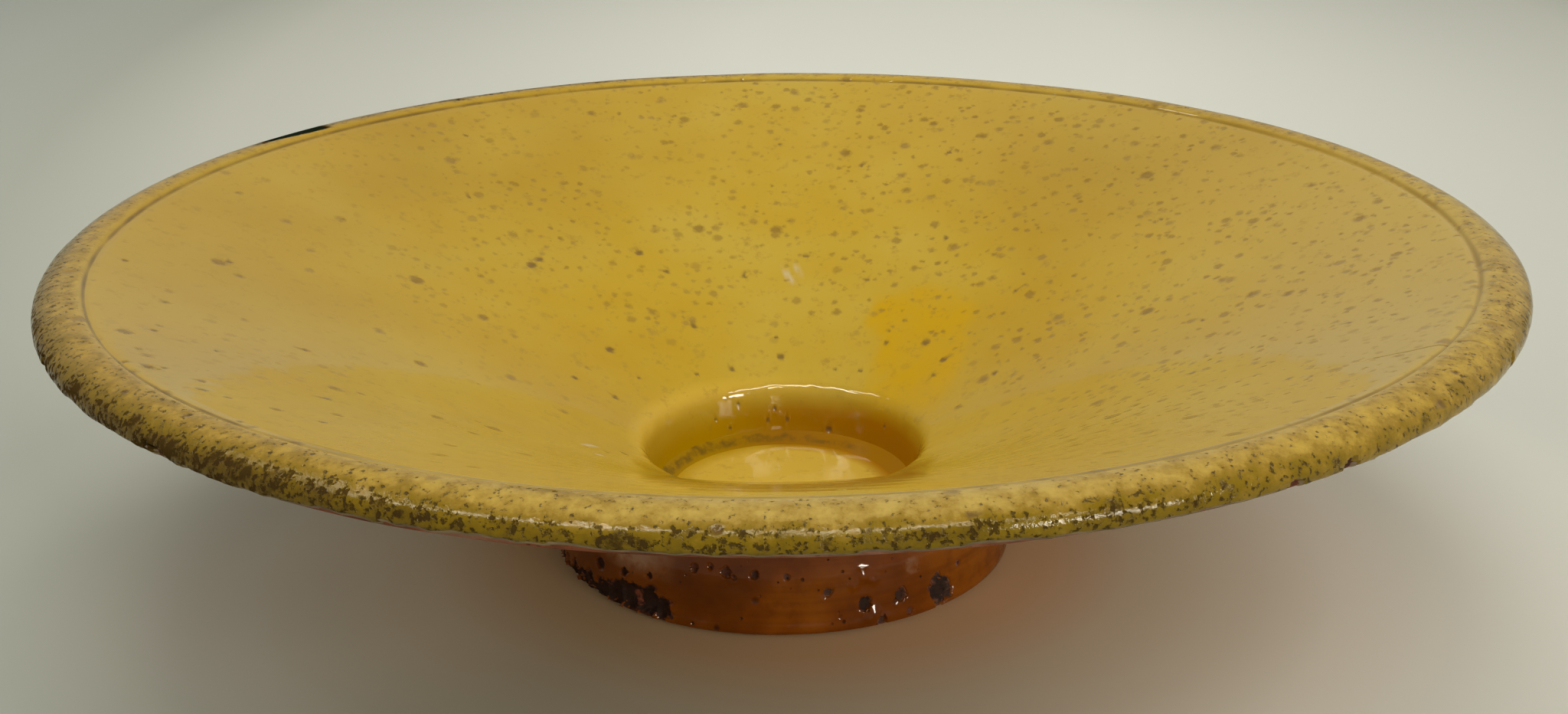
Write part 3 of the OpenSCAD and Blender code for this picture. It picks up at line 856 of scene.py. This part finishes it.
# Relief: long soft waves in the glaze, a pitted skin on the lip, and specks as dips
relief = add(tree, "Bump", {"Height": waves, "Distance": 0.5 * MM, "Strength": 0.12})
rough_lip = add(tree, "MapRange", {"Value": masks["grime_and_shade"], "From Min": 0.05, "From Max": 0.24,
                                   "To Max": 0.55})
lip_skin = add(tree, "Bump", {"Height": blots, "Distance": 0.4 * MM, "Strength": rough_lip,
                              "Normal": relief})
dips = add(tree, "Math", {0: speck_share, 1: 0.4}, operation="MULTIPLY")
dips = add(tree, "Math", {0: dips, 1: pit_share}, operation="MAXIMUM")
dips = add(tree, "Math", {0: dips, 1: crack_share}, operation="MAXIMUM")
dipped = add(tree, "Bump", {"Height": dips, "Distance": 0.22 * MM, "Strength": 1.0,
                            "Normal": lip_skin}, invert=True)
gloss = add(tree, "MapRange", {"Value": pit_share, "To Min": 0.075, "To Max": 0.4})
shine = add(tree, "MapRange", {"Value": masks["grime_and_shade"], "From Min": 0.25, "From Max": 0.9,
                               "To Min": 0.3, "To Max": 0.12})
dull = add(tree, "Math", {0: pit_share, 1: -0.24, 2: shine}, operation="MULTIPLY_ADD", use_clamp=True)
shade = add(tree, "BsdfPrincipled", {"Base Color": colour, "Roughness": gloss, "IOR": 1.45,
                                     "Specular IOR Level": dull, "Normal": dipped})
add(tree, "OutputMaterial", {"Surface": shade})

fine = (6, (5, 5, 7), 54, (3, 20, 24, 5))
coarse = (2, (3, 1, 4), 12, (1, 8, 14, 4))
section = coat_section(0.0, SLIP_DEPTH, fine, coarse)
GROOVE_IN, GROOVE_OUT, GROOVE_LOW = 129.6, 132.2, 65.9
groove_ring = [v for v in section.bm.verts if GROOVE_IN < v.co.x < GROOVE_OUT and v.co.z > GROOVE_LOW]
for _ in range(2):
    bmesh.ops.smooth_vert(section.bm, verts=groove_ring, factor=0.4, use_axis_x=True, use_axis_z=True)
bm = section.turned()
refine(bm, [(spot, wide) for spot, wide, _ in SPOTS], 0.7)
worn(bm, rim_chips, coat=0.9)
bmesh.ops.recalc_face_normals(bm, faces=bm.faces)
for v in bm.verts:
    if v.normal.z > 0.1 or math.hypot(v.co.x, v.co.y) > 138:
        sink = spotted(v.co)[1] + (uneven(v.co) if v.co.z > 17 and v.normal.z > 0.2 else 0.0)
        v.co -= v.normal * min(sink, MOST_SUNK)
yellow_glaze = piece(bm, "yellow_glaze_skin", yellow, PAINTED)
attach(yellow_glaze, "root")
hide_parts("yellow_glaze")

# Amber glaze
# The same lead glaze straight on the red clay of the foot and the underside, where it
# looks orange to dark brown. It is glossy, pitted, and chipped along the foot's edge.
AMBER_T, BARE_W = 0.35, 9.0
AMBER_BRIGHT, AMBER_MID, AMBER_DARK = "#a05808", "#844202", "#5e2c02"
AMBER_PIT, AMBER_RUBBED = "#24160b", "#a47a58"
# Drops of glaze that stand proud by the foot's right front: radius, bearing, height, width
# and rise in mm
GLAZE_BLOBS = [(45.4, 288.7, 11.0, 4.6, 0.6), (45.5, 286.4, 9.4, 3.4, 0.45),
               (45.5, 291.4, 9.8, 3.2, 0.4), (46.5, 291.1, 3.2, 4.6, 0.65),
               (46.3, 293.6, 2.2, 3.0, 0.4), (46.4, 289.6, 2.4, 2.8, 0.4)]
amber, tree = new_material("amber_lead_glaze_on_red_clay")
place = add(tree, "TexCoord").outputs["Object"]
cloud = add(tree, "TexNoise", {"Vector": place, "Scale": 1000 / 26.32, "Detail": 4.0, "Roughness": 0.6})
tone = add(tree, "ValToRGB", {"Fac": cloud},
           stops=[(0.3, AMBER_DARK), (0.5, AMBER_MID), (0.7, AMBER_BRIGHT)])
stretch = add(tree, "Mapping", {"Vector": place, "Scale": (1000 / 50, 1000 / 50, 1000 / 1.429)})
bands = add(tree, "TexNoise", {"Vector": stretch, "Scale": 1.0, "Detail": 2.0})
band_share = add(tree, "MapRange", {"Value": bands, "From Min": 0.4, "From Max": 0.7, "To Max": 0.35})
fine = add(tree, "TexNoise", {"Vector": place, "Scale": 1000 / 3.846, "Detail": 4.0, "Roughness": 0.6})
fine_share = add(tree, "MapRange", {"Value": fine, "From Min": 0.5, "From Max": 0.75, "To Max": 0.4})
pits = specks(tree, place, 5.2, 0.2, 0.5, 0.1)
tiny_pits = specks(tree, place, 1.9, 0.24, 0.2, 0.12)
pit_share = add(tree, "Math", {0: pits, 1: tiny_pits}, operation="MAXIMUM")
part_pits = add(tree, "Math", {0: pit_share, 1: 0.75}, operation="MULTIPLY")
rub = add(tree, "Attribute", attribute_name="rub")
ragged = add(tree, "MapRange", {"Value": fine, "From Min": 0.3, "From Max": 0.6})
rubbed = add(tree, "Math", {0: rub.outputs["Fac"], 1: ragged}, operation="MULTIPLY", use_clamp=True)
colour = tone
for share, tint in ((band_share, AMBER_DARK), (fine_share, AMBER_DARK), (part_pits, AMBER_PIT),
                    (rubbed, AMBER_RUBBED)):
    colour = add(tree, "Mix", {0: share, 6: colour, 7: linear(tint)}, data_type="RGBA")
waves = add(tree, "TexNoise", {"Vector": place, "Scale": 1000 / 6.25, "Detail": 3.0})
relief = add(tree, "Bump", {"Height": waves, "Distance": 0.5 * MM, "Strength": 0.6})
dipped = add(tree, "Bump", {"Height": pit_share, "Distance": 0.3 * MM, "Normal": relief}, invert=True)
shade = add(tree, "BsdfPrincipled", {"Base Color": colour, "Roughness": 0.08, "IOR": 1.45,
                                     "Specular IOR Level": 0.28, "Normal": dipped})
add(tree, "OutputMaterial", {"Surface": shade})


def foot_face(section, height, steps):
    """Draws the foot's outside at a height above its clay, from the underside down."""
    section.line(GRIP_C + way(UNDER_A, GRIP_R - height), steps[0])
    section.arc(GRIP_C, 180 + FOOT_LEAN - UNDER_A, steps[1])
    section.line(EDGE_C + way(FOOT_LEAN, EDGE_R + height), steps[2])
    section.arc(EDGE_C, EDGE_GLAZE_A - FOOT_LEAN, steps[3])
    return section.tip


edge = UNDER_RIM_P + way(UNDER_A + 90, BARE_W)
section = Section(edge - way(UNDER_A, AMBER_T))
first = section.tip
outer = foot_face(section, AMBER_T, (46, 10, 22, 8))
section.tip = section.bm.verts.new(edge)
section.bm.edges.new((first, section.tip))
inner = foot_face(section, 0.0, (6, 10, 22, 8))
section.bm.edges.new((outer, inner))
bm = section.turned()
blobs = [(around(r, b, z), wide, rise) for r, b, z, wide, rise in GLAZE_BLOBS]
refine(bm, [(blob, wide) for blob, wide, _ in blobs], 0.5)
worn(bm, foot_chips, coat=0.5)
for v in bm.verts:
    for blob, wide, rise in blobs:
        away = (v.co - blob).length
        if away < wide / 2:
            v.co -= inward(v.co) * rise * (1 - smooth(0, wide / 2, away))


def rubbed_foot(p):
    """The pale scuff at the left of the foot, and the small rubbed spot right of its front."""
    _, b = place_of(p)
    left = 1.2 * bell(b + 2.5 * noise.noise(p * 0.3), 231, 8)
    left *= smooth(8, 11, p.z) * (1 - smooth(14, 18, p.z))
    away = (p - Vector((24.0, -38.1, 10.8))).length
    return max(left, 0.9 * (1 - smooth(0.9, 1.5, abs(away - 0.4))))


foot_glaze = piece(bm, "foot_glaze_skin", amber, {"rub": rubbed_foot})
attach(foot_glaze, "root")
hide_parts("foot_glaze")

# Pooled glaze
# The yellow glaze ran down the well's wall and set as a thick ring in its corner, where
# it looks golden brown, with a broken dark line at its far left.
POOL_LEFT, POOL_MIDDLE, POOL_RIGHT, POOL_LINE_TONE = "#9c7600", "#926400", "#9a6a00", "#54421a"
pool, tree = new_material("pooled_lead_glaze")
place = add(tree, "TexCoord").outputs["Object"]
to_right = add(tree, "SeparateXYZ", {"Vector": place}).outputs["X"]
well_side = add(tree, "MapRange", {"Value": to_right, "From Min": -25 * MM, "From Max": 25 * MM})
tone = add(tree, "ValToRGB", {"Fac": well_side},
           stops=[(0.2, POOL_LEFT), (0.5, POOL_MIDDLE), (0.85, POOL_RIGHT)])
cloud = add(tree, "TexNoise", {"Vector": place, "Scale": 1000 / 2.381, "Detail": 4.0, "Roughness": 0.65})
broken = add(tree, "MapRange", {"Value": cloud, "From Min": 0.36, "From Max": 0.62})
pool_dark_line = add(tree, "Attribute", attribute_name="pool_dark_line")
dark_line_part = add(tree, "Math", {0: pool_dark_line.outputs["Fac"], 1: broken}, operation="MULTIPLY")
colour = add(tree, "Mix", {0: dark_line_part, 6: tone, 7: linear(POOL_LINE_TONE)}, data_type="RGBA")
shade = add(tree, "BsdfPrincipled", {"Base Color": colour, "Roughness": 0.2, "IOR": 1.45,
                                     "Specular IOR Level": 0.06})
add(tree, "OutputMaterial", {"Surface": shade})


def dark_line_of_ring(p):
    """Share of the dark line in the ring: broken, widest at the left, gone at the right."""
    wobble = noise.noise(p * 0.25) + 0.6 * noise.noise(p * 0.8)
    left = smooth(-0.1, 1.0, facing(p, 165))
    wide = 0.65 + 0.6 * left + 0.4 * wobble
    off = abs(math.hypot(p.x, p.y) - 24.3 - 0.5 * left - 0.4 * wobble)
    return 0.66 * smooth(-0.1, 0.5, facing(p, 128)) * (1 - smooth(wide * 0.4, wide, off))


section = Section(CORNER_C + way(-90, CORNER_R))
start = section.tip
section.arc(CORNER_C, WELL_A, 6)
section.line(start.co, 8)
POOL_SOFT_Z = 10.2        # above this height its edge is softened into the wall
bmesh.ops.smooth_vert(section.bm, verts=[v for v in section.bm.verts if v.co.z > POOL_SOFT_Z],
                      factor=0.3, use_axis_x=True, use_axis_z=True)
bm = section.turned()
worn(bm, foot_chips)
glaze_pool = piece(bm, "pooled_glaze", pool, {"pool_dark_line": dark_line_of_ring})
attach(glaze_pool, "root")
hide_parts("glaze_pool")

# Table and backdrop
# A plain pale grey-green sheet, with painted light and shade: it darkens towards its corners
# in a painted falloff of the light, is tinted warm beneath the dish in painted bounce light
# from the amber underside, and is paler in a painted patch of light on each side of the
# foot, widest at the right.
FLOOR_SIZE = 6.0
# The pale tone is the painted light of the patches beside the foot.
PAINTED_LIGHT_TONE, LIGHT_PATCH_CORE = "#f6f5ec", 0.02
sheet, tree = new_material("pale_paper_sheet")
place = add(tree, "TexCoord").outputs["Object"]
centred = add(tree, "Mapping", {"Vector": place, "Location": (-0.105, -0.425, 0.0),
                                "Scale": (1.5, 0.85, 1.0)})
away = add(tree, "VectorMath", {0: centred}, operation="LENGTH")
# Painted falloff of light: the sheet darkens away from a centre behind and right of the dish.
painted_falloff = add(tree, "ValToRGB", {"Fac": away},
           stops=[(0.13, "#f2f4ec"), (0.35, "#dbddd5"), (0.44, "#d4d6cd"), (0.53, "#bcc0b6"),
                  (0.62, "#bcc2ba"), (0.8, "#b8beb8")])
reach = add(tree, "VectorMath", {0: place}, operation="LENGTH")
near = add(tree, "Math", {0: reach, 1: 5.0}, operation="MULTIPLY")
# Painted bounce light and shade: warm beneath the dish, greyer beyond its rim.
painted_bounce = add(tree, "ValToRGB", {"Fac": near},
             stops=[(0.27, "#ffd8a8"), (0.365, "#fff0d4"), (0.56, "#fffaf0"), (0.72, "#f2f2f0"),
                    (0.9, "#ebebeb")])
# Painted patches of light on the sheet beside the foot, widest at the right.
for x, y, radius, strength in ((0.085, -0.032, 0.14, 0.9), (-0.09, -0.028, 0.065, 0.36)):
    light_patch = add(tree, "Mapping", {"Vector": place, "Location": (-x, -y, 0.0)})
    light_patch = add(tree, "VectorMath", {0: light_patch}, operation="LENGTH")
    share = add(tree, "MapRange", {"Value": light_patch, "From Min": radius, "From Max": LIGHT_PATCH_CORE,
                                   "To Max": strength}, interpolation_type="SMOOTHSTEP")
    painted_falloff = add(tree, "Mix", {0: share, 6: painted_falloff, 7: linear(PAINTED_LIGHT_TONE)}, data_type="RGBA")
    painted_falloff = painted_falloff.outputs[2]
tone = add(tree, "Mix", {0: 1.0, 6: painted_falloff, 7: painted_bounce}, data_type="RGBA", blend_type="MULTIPLY")
shade = add(tree, "BsdfPrincipled", {"Base Color": tone, "Roughness": 0.9, "Specular IOR Level": 0.2})
clear = add(tree, "BsdfTransparent")
side = add(tree, "NewGeometry")
either = add(tree, "MixShader", {0: side.outputs["Backfacing"], 1: shade, 2: clear})
add(tree, "OutputMaterial", {"Surface": either})
bm = bmesh.new()
bmesh.ops.create_grid(bm, x_segments=8, y_segments=8, size=FLOOR_SIZE / 2)
floor_mesh = bpy.data.meshes.new("table_top")
bm.to_mesh(floor_mesh)
bm.free()
table_top = bpy.data.objects.new("table_top", floor_mesh)
bpy.context.collection.objects.link(table_top)
table_top.data.materials.append(sheet)

# Light and camera
# Soft room light all round. Four lamps show only as reflections: a long one overhead, the
# thin line on the near rim, and three more, the glints on the rim's sides and the foot.
# Five broad ones, which have no reflection, light the dish and the sheet softly.
world = bpy.data.worlds.new("room")
bpy.context.scene.world = world
world.use_nodes = True
world.node_tree.nodes.clear()
toward = add(world.node_tree, "TexCoord").outputs["Generated"]
height = add(world.node_tree, "SeparateXYZ", {"Vector": toward})
tone = add(world.node_tree, "ValToRGB", {"Fac": height.outputs["Z"]},
           stops=[(0.0, "#d0d0c8"), (0.3, "#d8d8d0"), (0.6, "#dadad0"), (0.92, "#bebcb2")])
sky = add(world.node_tree, "Background", {"Color": tone, "Strength": 0.57})
add(world.node_tree, "OutputWorld", {"Surface": sky})
LAMP_WHITE, BULB_YELLOW, SOFT_WHITE = "#fff8ea", "#fff0c8", "#fffaf0"
DISH_MIDDLE = Vector((0, 0, 0.04))


def lamp(name, place, size, power, colour, matte=True, shiny=True):
    light = bpy.data.lights.new(name, "AREA")
    light.shape = "RECTANGLE"
    light.size, light.size_y = size
    light.energy = power
    light.color = linear(colour)[:3]
    made = bpy.data.objects.new(name, light)
    aim = (DISH_MIDDLE - Vector(place)).to_track_quat("-Z", "X").to_matrix().to_4x4()
    made.matrix_world = Matrix.Translation(Vector(place)) @ aim
    made.visible_diffuse, made.visible_glossy = matte, shiny
    bpy.context.collection.objects.link(made)


lamp("long_lamp", (-0.15, -0.6, 1.2), (0.13, 2.3), 27.6, LAMP_WHITE, matte=False)
lamp("ceiling_bulb", (0.1, -0.95, 1.0), (0.12, 0.12), 2.4, BULB_YELLOW, matte=False)
lamp("window", (0.75, -0.85, 0.4), (0.27, 0.29), 14.0, LAMP_WHITE, matte=False)
lamp("left_lamp", (-0.95, -0.05, 1.2), (0.09, 0.9), 4.6, LAMP_WHITE, matte=False)
SOFT_LAMPS = [("front", (0.0, -0.6, 1.2), 0.8, 3.1), ("back", (-0.1, 0.25, 1.1), 0.8, 5.3),
              ("low", (0.6, -0.9, 0.36), 0.6, 3.0), ("right", (0.75, -0.35, 1.0), 0.6, 2.7),
              ("left", (-0.9, -0.5, 0.6), 0.6, 1.0)]
for side, place, size, power in SOFT_LAMPS:
    lamp("soft_" + side, place, (size, size), power, SOFT_WHITE, shiny=False)

# Camera at the photograph's view of 2048 x 932 pixels, with a focal length of 2606 pixels
PHOTO_WIDTH, PHOTO_FOCAL, SENSOR_W = 2048, 2606, 36
CAMERA_AT = Vector((0.0, -0.3776, 0.17867))
CAMERA_LOOK = Vector((0.000717, 0.937694, -0.347461))
CAMERA_UP = Vector((0.010501, 0.347435, 0.937645))
camera_data = bpy.data.cameras.new("photo_camera")
camera_data.sensor_width = SENSOR_W
camera_data.lens = SENSOR_W * PHOTO_FOCAL / PHOTO_WIDTH
camera = bpy.data.objects.new("photo_camera", camera_data)
turn = Matrix((CAMERA_LOOK.cross(CAMERA_UP), CAMERA_UP, -CAMERA_LOOK)).transposed()
camera.matrix_world = Matrix.Translation(CAMERA_AT) @ turn.to_4x4()
bpy.context.collection.objects.link(camera)
bpy.context.scene.camera = camera
bpy.context.scene.view_settings.view_transform = "Standard"
